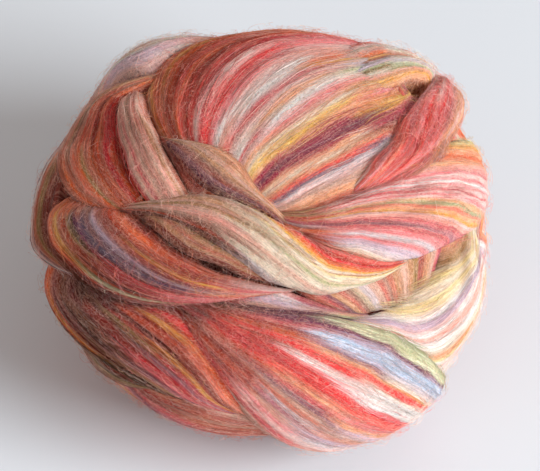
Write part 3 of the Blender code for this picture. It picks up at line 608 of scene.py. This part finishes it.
# meshes
def putMesh(name, points, faces, colour, material, uv=None):
    # an object at the origin from whole arrays: points, a list of arrays of faces with one number of
    # corners each, and a colour for each point
    mesh = bpy.data.meshes.new(name)
    sizes = np.concatenate([np.full(len(part), part.shape[1]) for part in faces])
    corners = np.concatenate([part.reshape(-1) for part in faces])
    mesh.vertices.add(len(points))
    mesh.vertices.foreach_set("co", points.astype(np.float32).reshape(-1))
    mesh.loops.add(len(corners))
    mesh.loops.foreach_set("vertex_index", corners.astype(np.int32))
    mesh.polygons.add(len(sizes))
    starts = np.concatenate([[0], np.cumsum(sizes)[:-1]]).astype(np.int32)
    mesh.polygons.foreach_set("loop_start", starts)
    mesh.update(calc_edges=True)
    layer = mesh.attributes.new("dyed", "FLOAT_COLOR", "POINT")
    full = np.hstack([colour, np.ones((len(colour), 1))]).astype(np.float32)
    layer.data.foreach_set("color", full.reshape(-1))
    if uv is not None:
        flat = mesh.uv_layers.new(name="along")
        flat.data.foreach_set("uv", uv[corners].astype(np.float32).reshape(-1))
    mesh.shade_smooth()
    mesh.materials.append(material)
    thing = bpy.data.objects.new(name, mesh)
    bpy.context.scene.collection.objects.link(thing)
    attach(thing, "root")
    print(name, "triangles:", int((sizes - 2).sum()))
    return thing


def joinRings(index, firstHub, lastHub):
    # four-cornered faces from each ring of point numbers to the next, and a fan from a hub at each end
    turned = np.roll(index, -1, axis=1)
    quads = np.stack([index[:-1], turned[:-1], turned[1:], index[1:]], -1).reshape(-1, 4)
    hubs = np.full((2, index.shape[1]), [[firstHub], [lastHub]])
    fans = np.concatenate([np.stack([hubs[0], turned[0], index[0]], -1),
                           np.stack([hubs[1], index[-1], turned[-1]], -1)])
    return quads, fans


def facesOutward(points, quads, fans):
    # turns all faces round if the sum of their signed volumes is below zero
    a, b, c, d = (points[quads[:, k]] - middle for k in range(4))
    volume = (np.cross(a, b) * c).sum() + (np.cross(a, c) * d).sum()
    return (quads, fans) if volume > 0 else (quads[:, ::-1], fans[:, ::-1])


surface = {
    "stepAlong": 2.2,                # mm between rings
    "slantStepAlong": 0.9,           # where the stripes slide across
    "slanted": ("rightBundle", "rightLoop"),
    "farStepAlong": 1.5,
    "stepAcross": 0.45,              # mm between points of a ring
    "farStepAcross": 0.75,
    "fewestRings": 12,
    "pointsAcross": (14, 120),       # fewest and most in a ring
    "crowding": 0.35,                # how much the points crowd towards the edges
    "under": (0.9, 0.5, 0.1),        # places across of the points of the hidden underside
    "sunk": 11.5,                    # mm, its depth
    "uvUnit": 100,                   # mm of wool for one unit of the UV map
}


def strandMesh(strand):
    # closed rings over the crown and back underneath, joined ring to ring, with a fan at each end
    alongStep, acrossStep = surface["stepAlong"], surface["stepAcross"]
    if strand["name"] in surface["slanted"]:
        alongStep = surface["slantStepAlong"]
    if strand["name"] in farStrands:
        alongStep, acrossStep = surface["farStepAlong"], surface["farStepAcross"]
    rings = max(surface["fewestRings"], int(strand["length"] / alongStep))
    across = int(np.clip(np.max(strand["width"]) / acrossStep, *surface["pointsAcross"]))
    crowded = (1 - np.cos(np.linspace(0, np.pi, across))) / 2 * surface["crowding"]
    u, v = np.meshgrid(np.linspace(0, 1, rings),
                       crowded + np.linspace(0, 1, across) * (1 - surface["crowding"]), indexing="ij")
    top, _, _ = onStrand(strand, u, v, 0 * u)
    under = np.array(surface["under"]) + 0 * u[:, :3]
    ends = u[:, :3]
    edgeA, edgeB = atStation(strand["edgeA"], ends), atStation(strand["edgeB"], ends)
    directions = unit(edgeA * (1 - under)[..., None] + edgeB * under[..., None])
    low = overBall(directions, np.full(under.shape, -surface["sunk"] * mm))
    points = np.concatenate([top, low], axis=1)
    u, v = np.hstack([u, ends]), np.hstack([v, under])
    colour = woolColour(strand, u, v)
    uv = np.stack([u * strand["length"], laneOf(strand, u, v) * strand["wide"]], -1).reshape(-1, 2)
    uv = uv / surface["uvUnit"]
    uv = np.concatenate([uv, uv[[0, -1]]]) + (strand["seed"] % 7, strand["seed"] % 11)
    quads, fans = joinRings(np.arange(u.size).reshape(u.shape), u.size, u.size + 1)
    points, colour = (np.concatenate([part.reshape(-1, 3), part[[0, -1]].mean(1)])
                      for part in (points, colour))
    return points, quads, fans, colour, uv


def joinStrands(name, chosen, material):
    # one mesh of several strands
    parts, start = [], 0
    for each in chosen:
        points, quads, fans, colour, uv = strandMesh(strands[each])
        quads, fans = facesOutward(points, quads, fans)
        parts.append((points, quads + start, fans + start, colour, uv))
        start += len(points)
    points, quads, fans, colour, uv = (np.concatenate(column) for column in zip(*parts))
    return putMesh(name, points, [quads, fans], colour, material, uv)


# materials
woolFinish = {
    "streakPerMm": 2.5,              # fine streaks across the strand
    "streakPerUnit": 9.0,            # and along it, for each unit of the UV map
    "streakRange": (0.3, 0.7),       # the part of the noise that is spread over these two
    "streakDark": 0.80,              # the darkest and lightest streak
    "streakLight": 1.33,
    "bumpDepth": 0.0005,
    "bumpStrength": 0.6,
    "roughness": 0.92,
    "shine": 0.12,
    "sheen": 0.12,
    "sheenRoughness": 0.45,
    "frizz": 0.60,                   # how much the fine curled hairs lighten the surface
    "frizzColour": (0.68, 0.36, 0.27, 1.0),
    "frizzSizes": ((19.0, 0.0), (33.0, 5.3)),    # scale and shift of two layers
    # painted shade: the gaps between the hairs are darkened in the colour
    "gaps": 0.36,                    # how much the gaps between them darken it
    "gapSizes": ((25.0, 9.1), (41.0, 3.7)),
    "curl": 1.4,                     # how much the noise under hairs and gaps is twisted
    "lineWidth": 0.045,
    "glow": 0.3,                     # light that spreads inside the wool
    "glowColours": (1.0, 0.55, 0.4),
    "glowReach": 0.0025,
}


def setInputs(tree, node, inputs):
    # links an input to the socket that is given for it, or else sets its value
    for name, value in inputs.items():
        if isinstance(value, bpy.types.NodeSocket):
            tree.links.new(value, node.inputs[name])
        else:
            node.inputs[name].default_value = value


def addNode(tree, kind, inputs, **settings):
    # the outputs of a new node of this kind
    node = tree.nodes.new("ShaderNode" + kind)
    for name, value in settings.items():
        setattr(node, name, value)
    setInputs(tree, node, inputs)
    return node.outputs


def curledLines(tree, place, sizes, strength):
    # thin wavy lines where a twisted noise crosses 0.5: strength * (1 - |noise - 0.5| / lineWidth),
    # the stronger of two layers
    layers = []
    for scale, shift in sizes:
        spread = addNode(tree, "Mapping", {
            "Vector": place, "Location": (shift, shift, 0.0), "Scale": (scale, scale * 2.0, 1.0)})
        noise = addNode(tree, "TexNoise", {
            "Vector": spread["Vector"], "Scale": 1.0, "Detail": 1.0, "Distortion": woolFinish["curl"]})
        offset = addNode(tree, "Math", {0: noise["Fac"], 1: 0.5}, operation="SUBTRACT")
        away = addNode(tree, "Math", {0: offset["Value"]}, operation="ABSOLUTE")
        line = addNode(tree, "MapRange", {
            "Value": away["Value"], "From Max": woolFinish["lineWidth"],
            "To Min": strength, "To Max": 0.0})
        layers.append(line["Result"])
    return addNode(tree, "Math", dict(enumerate(layers)), operation="MAXIMUM")["Value"]


def woolMaterial(name, streaks):
    # the point colour; with streaks, it is scaled by long thin streaks less the painted shade of the gaps
    # and screened with pale lines, and streaks and lines are raised as bump
    material = bpy.data.materials.new(name)
    material.use_nodes = True
    tree = material.node_tree
    wool = tree.nodes["Principled BSDF"]
    dyed = addNode(tree, "Attribute", {}, attribute_name="dyed")["Color"]
    setInputs(tree, wool, {
        "Base Color": dyed, "Roughness": woolFinish["roughness"],
        "Specular IOR Level": woolFinish["shine"],
        "Sheen Weight": woolFinish["sheen"], "Sheen Roughness": woolFinish["sheenRoughness"]})
    if not streaks:
        return material
    along = addNode(tree, "UVMap", {}, uv_map="along")["UV"]
    lines = curledLines(tree, along, woolFinish["frizzSizes"], woolFinish["frizz"])
    gaps = curledLines(tree, along, woolFinish["gapSizes"], woolFinish["gaps"])
    perUnit = surface["uvUnit"] * woolFinish["streakPerMm"]
    stretch = addNode(tree, "Mapping", {
        "Vector": along, "Scale": (woolFinish["streakPerUnit"], perUnit, 1.0)})
    streak = addNode(tree, "TexNoise", {
        "Vector": stretch["Vector"], "Scale": 1.0, "Detail": 3.0, "Roughness": 0.65})["Fac"]
    least, most = woolFinish["streakRange"]
    levels = addNode(tree, "MapRange", {
        "Value": streak, "From Min": least, "From Max": most,
        "To Min": woolFinish["streakDark"], "To Max": woolFinish["streakLight"]})
    # painted shade: the gaps between the hairs darken the streaked colour
    deeper = addNode(tree, "Math", {0: levels["Result"], 1: gaps}, operation="SUBTRACT")
    scaled = addNode(tree, "VectorMath", {0: dyed, "Scale": deeper["Value"]}, operation="SCALE")
    paler = addNode(tree, "MixRGB", {
        "Fac": lines, "Color1": scaled["Vector"], "Color2": woolFinish["frizzColour"]},
        blend_type="SCREEN")
    raised = addNode(tree, "Math", {0: streak, 1: lines}, operation="ADD")
    bump = addNode(tree, "Bump", {
        "Height": raised["Value"], "Strength": woolFinish["bumpStrength"],
        "Distance": woolFinish["bumpDepth"]})
    setInputs(tree, wool, {
        "Base Color": paler["Color"], "Normal": bump["Normal"], "Subsurface Weight": woolFinish["glow"],
        "Subsurface Radius": woolFinish["glowColours"], "Subsurface Scale": woolFinish["glowReach"]})
    return material


woolSurface = woolMaterial("dyedWoolSurface", True)
woolFibre = woolMaterial("dyedWoolFibre", False)

frontRoving = joinStrands("frontRoving", list(seenStrands), woolSurface)
backRoving = joinStrands("backRoving", list(farStrands), woolSurface)
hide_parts("roving_ball")
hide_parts("roving_ball")

# the wound inside that shows deep in the gaps; its dark maroon and rust are partly its own red wool,
# partly painted shade of the gaps
woundInside = {
    "rings": 48,
    "sides": 96,
    "hollowDepth": 7.0,             # mm that it is sunk behind the open fold
    "hollowSpread": 0.10,           # how far round that, on the unit ball
    "hollowAt": (45.0, 47.0),       # right and up in mm as the eye sees it
    "dyes": ("maroon", "rust"),
    "shares": (0.8, 0.4, 0.15),     # of the first dye, of its chance part and of the second dye
    "patches": (60, 4),             # how fine the chance part is up the ball and across it
    "uvRise": 0.6,                  # the UV map's height from the middle to the top
}


def insideMesh():
    # a closed ball of latitude rings, sunk by depth * e^-(distance / spread)^2 round the open fold
    level = np.linspace(-90, 90, woundInside["rings"] + 2)[1:-1]
    bearing = np.arange(woundInside["sides"]) * 360 / woundInside["sides"]
    grid = bearingDirection(*np.meshgrid(bearing, level))
    directions = np.concatenate([grid.reshape(-1, 3), [[0, 0, -1.0], [0, 0, 1.0]]])
    hollow = seenDirection(*np.array(woundInside["hollowAt"]))
    near = np.exp(-(np.linalg.norm(directions - hollow, axis=1) / woundInside["hollowSpread"]) ** 2)
    depth = ball["coreDepth"] + woundInside["hollowDepth"] * mm * near
    points = middle + (halfAxes - depth[:, None]) * directions
    points[:, 2] = np.maximum(points[:, 2], 0)
    index = np.arange(grid.shape[0] * grid.shape[1]).reshape(grid.shape[:2])
    quads, fans = joinRings(index, index.size, index.size + 1)
    fine, coarse = woundInside["patches"]
    pick = softNoise(directions[:, 2] * fine, directions[:, 0] * coarse, 5)[:, None]
    (first, second), (even, uneven, other) = map(linearDye, woundInside["dyes"]), woundInside["shares"]
    colour = first * (even + uneven * pick) + second * other
    bearing = np.arctan2(directions[:, 0], -directions[:, 1])
    uv = np.stack([bearing, directions[:, 2] * woundInside["uvRise"]], -1)
    return points, quads, fans, colour, uv


points, quads, fans, colour, uv = insideMesh()
innerWool = putMesh("innerWool", points, facesOutward(points, quads, fans), colour, woolSurface, uv)
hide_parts("roving_ball")

# what lies on top: the highest strand for each direction
topGrid = {"size": 300, "along": 400, "across": 160}     # cells each way, readings on each strand


def flatPlace(directions):
    # the octahedral map: a direction's first two parts over the sum of all three, folded over for
    # the lower half, from 0 to 1 each way
    d = directions / np.abs(directions).sum(-1, keepdims=True)
    folded = (1 - np.abs(d[..., [1, 0]])) * np.where(d[..., :2] >= 0, 1, -1)
    return np.where(d[..., 2:] >= 0, d[..., :2], folded) * 0.5 + 0.5


def cellOf(directions):
    # the number of the map's cell that a direction falls in: row * size + column
    place = np.clip((flatPlace(directions) * topGrid["size"]).astype(int), 0, topGrid["size"] - 1)
    return place[..., 0] * topGrid["size"] + place[..., 1]


def topOfStrands():
    # height and colour of the highest strand in each cell: sorted by height, the highest is written
    # last and stays
    cells, heights, tints = [], [], []
    u, v = np.meshgrid(np.linspace(0, 1, topGrid["along"]), np.linspace(0.01, 0.99, topGrid["across"]),
                       indexing="ij")
    for strand in strands.values():
        _, directions, height = onStrand(strand, u, v, 0 * u)
        cells.append(cellOf(directions).reshape(-1))
        heights.append(height.reshape(-1))
        tints.append(woolColour(strand, u, v).reshape(-1, 3))
    cells, heights, tints = np.concatenate(cells), np.concatenate(heights), np.concatenate(tints)
    order = np.argsort(heights, kind="stable")
    topHeight = np.full(topGrid["size"] ** 2, -ball["coreDepth"])
    topColour = np.tile(linearDye(woundInside["dyes"][0]), (topGrid["size"] ** 2, 1))
    topHeight[cells[order]] = heights[order]
    topColour[cells[order]] = tints[order]
    return topHeight, topColour


topHeight, topColour = topOfStrands()
print("heights and colours of the top strands found")


# fibres as thin tapered three-sided tubes
def tubes(paths, radii, outward):
    # rings of three points round each path, set by its direction and the outward direction, drawn
    # to a single point at both ends
    along = unit(np.gradient(paths, axis=1))
    side = unit(np.cross(outward, along))
    up = np.cross(along, side)
    turn = np.radians([90, 210, 330])
    rings = (paths[:, 1:-1, None] + radii[:, 1:-1, None, None] * (
        np.cos(turn)[:, None] * side[:, 1:-1, None] + np.sin(turn)[:, None] * up[:, 1:-1, None]))
    many, count = rings.shape[:2]
    points = np.concatenate([paths[:, :1], rings.reshape(many, -1, 3), paths[:, -1:]], axis=1)
    size = points.shape[1]
    quads, tips = joinRings(1 + np.arange(count * 3).reshape(count, 3), 0, size - 1)
    start = (np.arange(many) * size)[:, None, None]
    return points.reshape(-1, 3), [(quads + start).reshape(-1, 4), (tips + start).reshape(-1, 3)]


def fibrePieces(name, pieces, paths, radii, outward, colours):
    # the fibres dealt out in turn to a few meshes, each with one colour from end to end
    for number in range(pieces):
        part = slice(number, None, pieces)
        points, faces = tubes(paths[part], radii[part], outward[part])
        perFibre = len(points) // len(paths[part])
        tints = np.repeat(np.clip(colours[part], 0, 1), perFibre, axis=0)
        putMesh(f"{name}{number + 1}", points, faces, tints, woolFibre)


laid = {
    "count": 13400,
    "pieces": 2,
    "points": 6,
    "spare": 2.1,            # fibres drawn for each one that is kept
    "seenWeight": 1.35,      # how thickly they lie on the strands that show, and on the far ones
    "farWeight": 0.55,
    "lengthMm": (12, 40),
    "longest": 0.6,          # share of the strand's length
    "radiusMm": (0.035, 0.085),
    "standMm": 0.28,         # how far the middle of a fibre stands off the strand
    "standSpread": (0.3, 1.6),
    "dipMm": 0.12,           # how deep its ends lie
    "strayMm": 1.5,          # how far it strays sideways over its length
    "waverMm": 0.3,
    "waverTurn": (4, 11),
    "overEdge": 0.10,        # share of the fibres that lie loose over the strands' edges
    "looseStray": 1.6,       # how much more those stray
    "edgeMm": 1.2,           # how near the edge they start
    "lowest": -12.0,         # mm, how deep they hang at most where nothing is under them
    "hiddenMm": (1.0, 1.2),  # a fibre that lies this far under what is on top is left out
    "steepest": 2.8,         # mm, and so is one over a deeper drop than this
    "paleShare": 0.26,       # fibres of another, paler colour
    "paleMix": 0.4,
    "paleDyes": ("cream", "palePink", "peach", "blush", "pinkBeige", "white"),
    "brightness": (0.8, 1.25),
    # frayed strands: share of the fibres against their size, share over the edges, stray in mm
    "frayed": {"redEnd": (3.4, 0.5, 5.0), "knotStrand": (1.4, 0.2, 2.0), "leftCurl": (1.3, 0.1, 1.5)},
}


def strandFibres(strand, many, chance):
    # fibres that follow one strand: u runs along it, v drifts and wavers a little, and both ends dip
    # in; past an edge they lie on what is under them
    usual = (1, laid["overEdge"], laid["strayMm"])
    _, looseShare, strayMm = laid["frayed"].get(strand["name"], usual)
    t = np.linspace(0, 1, laid["points"])
    long = np.minimum(chance.uniform(*laid["lengthMm"], many) / strand["length"], laid["longest"])
    first = 0.01 + chance.random(many) * (0.98 - long)
    u = first[:, None] + long[:, None] * t
    start = chance.uniform(0.02, 0.98, many)
    loose = chance.random(many) < looseShare
    rim = chance.normal(0, laid["edgeMm"] / strand["wide"], many)
    start = np.where(loose, np.where(chance.random(many) < 0.5, rim, 1 + rim), start)
    lean = chance.normal(0, strayMm, many) * np.where(loose, laid["looseStray"], 1) / strand["wide"]
    waver = chance.normal(0, laid["waverMm"], (many, 1)) * np.sin(
        t * chance.uniform(*laid["waverTurn"], (many, 1)) + chance.uniform(0, 6, (many, 1)))
    waver = waver / strand["wide"]
    slip = laneOf(strand, u[:, 2:3], 0) - laneOf(strand, u, 0)     # the fibre stays in its lane
    v = start[:, None] + slip + lean[:, None] * (t - 0.5) + waver
    over = laid["standMm"] * chance.uniform(*laid["standSpread"], (many, 1)) * np.sin(math.pi * t) ** 0.6
    over -= laid["dipMm"]
    _, directions, height = onStrand(strand, u, v, over)
    _, within, own = onStrand(strand, u, np.clip(v, 0.06, 0.94), over)
    ground = topHeight[cellOf(directions)]
    outside = (v < 0.03) | (v > 0.97)
    height = np.where(outside, np.maximum(ground, laid["lowest"] * mm) + over * mm, height)
    height[:, 1:-1] = (height[:, :-2] + 2 * height[:, 1:-1] + height[:, 2:]) / 4
    hidden, ownHidden = np.array(laid["hiddenMm"]) * mm
    shown = (height > ground - hidden).mean(1) > 0.7
    shown &= (own > topHeight[cellOf(within)] - ownHidden).mean(1) > 0.6
    shown &= np.ptp(ground, axis=1) < laid["steepest"] * mm
    colours = woolColour(strand, u[:, 2], np.clip(start + chance.normal(0, 0.012, many), 0.05, 0.95))
    return overBall(directions, height)[shown], directions[shown], colours[shown]


def laidFibres(seed):
    # fibres dealt out to the strands by length * width * weight, then mixed, paled and given radii
    # that taper by sin(pi t)^0.35
    chance = np.random.default_rng(seed)
    weight = np.array([
        strand["length"] * strand["width"].mean()
        * (laid["seenWeight"] if name in seenStrands else laid["farWeight"])
        * laid["frayed"].get(name, (1, 0, 0))[0] for name, strand in strands.items()])
    drawn = int(laid["count"] * laid["spare"])
    owners = chance.choice(len(strands), size=drawn, p=weight / weight.sum())
    shares = np.bincount(owners, minlength=len(strands))
    parts = [strandFibres(strand, many, chance) for strand, many in zip(strands.values(), shares) if many]
    paths, outward, colours = (np.concatenate(part) for part in zip(*parts))
    order = chance.permutation(len(paths))[:laid["count"]]
    paths, outward, colours = paths[order], outward[order], colours[order]
    pale = chance.random(len(paths)) < laid["paleShare"]
    light = np.array([linearDye(name) for name in laid["paleDyes"]])
    paler = light[chance.integers(0, len(light), pale.sum())]
    colours[pale] = (1 - laid["paleMix"]) * colours[pale] + laid["paleMix"] * paler
    colours *= chance.uniform(*laid["brightness"], (len(paths), 1))
    t = np.linspace(0, 1, laid["points"])
    radii = chance.uniform(*laid["radiusMm"], (len(paths), 1)) * mm * np.sin(math.pi * t) ** 0.35
    print("laid fibres:", len(paths))
    return paths, radii, unit(outward / halfAxes), colours


fibrePieces("laidFibres", laid["pieces"], *laidFibres(7))

stray = {
    "count": 12600,
    "pieces": 3,
    "points": 7,
    "lengthMm": (3, 12),
    "ballRadiusMm": 72,
    "radiusMm": (0.026, 0.050),
    "standMm": (0.1, 1.55),
    "standPower": 2.2,     # more than 1 keeps most hairs low and lets a few stand far off
    "dipMm": 0.1,          # how deep the roots lie
    "lowest": 1.0,         # mm above the floor, a hair that reaches lower is left out
    "curl": 5.5,
    "unsteady": 0.3,       # how much the heading changes by chance at each step
    "dyes": ("cream", "palePink", "white", "pinkBeige", "peach", "pink"),
    "brightness": (0.9, 1.3),
    "ownColour": 0.62,     # share of the colour under it, and how much brighter that is
    "ownBrightness": 1.4,
    # places of thicker fuzz: right, up, spread in mm as the eye sees them, and share of the hairs
    "thick": [(-40, -38, 18, 0.06), (-6, -34, 10, 0.07), (-46, 60, 9, 0.05), (52, 42, 10, 0.06),
              (-15, 5, 18, 0.07), (-40, 0, 20, 0.06), (20, 20, 40, 0.08), (10, -66, 22, 0.03)],
    "rimShare": 0.17,      # share of the hairs along the outline that the eye sees
    "rimSpread": 0.03,
}


def hairRoots(chance):
    # directions all over the ball, the first of them moved to the thick places and the outline
    start = unit(chance.normal(size=(stray["count"], 3)))
    used = 0
    for right, up, spread, share in stray["thick"]:
        many = int(share * stray["count"])
        spots = chance.normal(0, spread, (many, 2)) + (right, up)
        start[used:used + many] = seenDirection(*spots.T)
        used += many
    many = int(stray["rimShare"] * stray["count"])
    turn, reach = chance.uniform(0, 2 * math.pi, many), chance.normal(1, stray["rimSpread"], many)
    start[used:used + many] = seenDirection(
        np.cos(turn) * halfAxes[0] / mm * reach, np.sin(turn) * seenHalfHeight / mm * reach)
    return start


def strayHairs(seed):
    # hairs that walk over the ball in a curl: heading turns steadily, height rises and falls as a sine
    chance = np.random.default_rng(seed)
    place, count, steps = hairRoots(chance), stray["count"], stray["points"]
    long = chance.uniform(*stray["lengthMm"], count)
    aside = unit(np.cross(place, chance.normal(size=(count, 3))))
    forward = np.cross(place, aside)
    curl = chance.normal(0, stray["curl"], count)
    heading = chance.uniform(0, 6.28, count)
    walked = []
    for _ in range(steps):
        walked.append(place)
        heading = heading + curl / steps + chance.normal(0, stray["unsteady"], count)
        way = np.cos(heading)[:, None] * aside + np.sin(heading)[:, None] * forward
        place = unit(place + way * (long / steps / stray["ballRadiusMm"])[:, None])
    directions = np.stack(walked, axis=1)
    t = np.linspace(0, 1, steps)
    ground = topHeight[cellOf(directions)]
    for _ in range(2):
        ground[:, 1:-1] = (ground[:, :-2] + ground[:, 1:-1] + ground[:, 2:]) / 3
    rise = chance.uniform(*stray["standMm"], (count, 1)) ** stray["standPower"] * np.sin(
        math.pi * (t * chance.uniform(0.6, 1.0, (count, 1)))) ** 0.8
    paths = overBall(directions, ground + (rise - stray["dipMm"]) * mm)
    kept = paths[:, :, 2].min(1) > stray["lowest"] * mm
    light = np.array([linearDye(name) for name in stray["dyes"]])
    colours = light[chance.integers(0, len(light), count)]
    colours = colours * chance.uniform(*stray["brightness"], (count, 1))
    own = topColour[cellOf(directions[:, 4])] * stray["ownBrightness"]
    colours = colours * (1 - stray["ownColour"]) + own * stray["ownColour"]
    radii = chance.uniform(*stray["radiusMm"], (count, 1)) * mm * np.sin(math.pi * t) ** 0.3
    return paths[kept], radii[kept], unit(directions / halfAxes)[kept], colours[kept]


fibrePieces("strayHairs", stray["pieces"], *strayHairs(21))

# floor, light and camera
studio = {
    "floorColour": (0.80, 0.83, 0.88, 1.0),
    "floorRoughness": 0.7,
    "floorReach": 4.0,       # metres from the middle to each side
    "floorDrop": 0.0002,
    "airColour": (1.0, 0.94, 0.89, 1.0),
    "airStrength": 0.40,
    "lights": {              # place, width, power and colour
        "window": ((2.6, -1.7, 2.0), 2.0, 162.0, (0.93, 0.975, 1.0)),
        "fill": ((-0.5, -1.1, 0.6), 1.2, 1.0, (1.0, 0.95, 0.92))},
    "eyeDistance": 1.6,
    "viewWidth": 0.180,      # metres across the picture at the ball
    "viewRise": 0.0005,      # the picture's middle over the ball's, as the eye sees it
}


def aimed(thing, place, target):
    # puts a light or camera, which looks down its own -Z, at a place and turns it to the target
    thing.location = place
    way = np.array(target, float) - np.array(place, float)
    flat = math.hypot(way[0], way[1])
    thing.rotation_euler = (math.atan2(flat, -way[2]), 0, math.atan2(-way[0], way[1]))
    bpy.context.scene.collection.objects.link(thing)
    return thing


def paleFloor():
    # one square a little under the ball
    reach = studio["floorReach"]
    mesh = bpy.data.meshes.new("floor")
    mesh.from_pydata([(-reach, -reach, 0), (reach, -reach, 0), (reach, reach, 0), (-reach, reach, 0)],
                     [], [(0, 1, 2, 3)])
    material = bpy.data.materials.new("paleFloor")
    material.use_nodes = True
    setInputs(material.node_tree, material.node_tree.nodes["Principled BSDF"], {
        "Base Color": studio["floorColour"], "Roughness": studio["floorRoughness"]})
    mesh.materials.append(material)
    thing = bpy.data.objects.new("floor", mesh)
    thing.location = (0, 0, -studio["floorDrop"])
    bpy.context.scene.collection.objects.link(thing)
    return thing


floor = paleFloor()

for name, (place, width, power, tint) in studio["lights"].items():
    lamp = bpy.data.lights.new(name, "AREA")
    lamp.shape, lamp.size, lamp.energy, lamp.color = "DISK", width, power, tint
    aimed(bpy.data.objects.new(name, lamp), place, middle)

world = bpy.data.worlds.new("room")
world.use_nodes = True
setInputs(world.node_tree, world.node_tree.nodes["Background"], {
    "Color": studio["airColour"], "Strength": studio["airStrength"]})
bpy.context.scene.world = world
bpy.context.scene.view_settings.view_transform = "Standard"

lens = bpy.data.cameras.new("camera")
lens.lens = lens.sensor_width * studio["eyeDistance"] / studio["viewWidth"]
lens.clip_end = 20
toEye = np.array([0, -math.cos(tilt), math.sin(tilt)])
upInView = np.array([0, math.sin(tilt), math.cos(tilt)])
target = middle + studio["viewRise"] * upInView
camera = aimed(bpy.data.objects.new("camera", lens), target + toEye * studio["eyeDistance"], target)
bpy.context.scene.camera = camera
print("floor, light and camera placed")
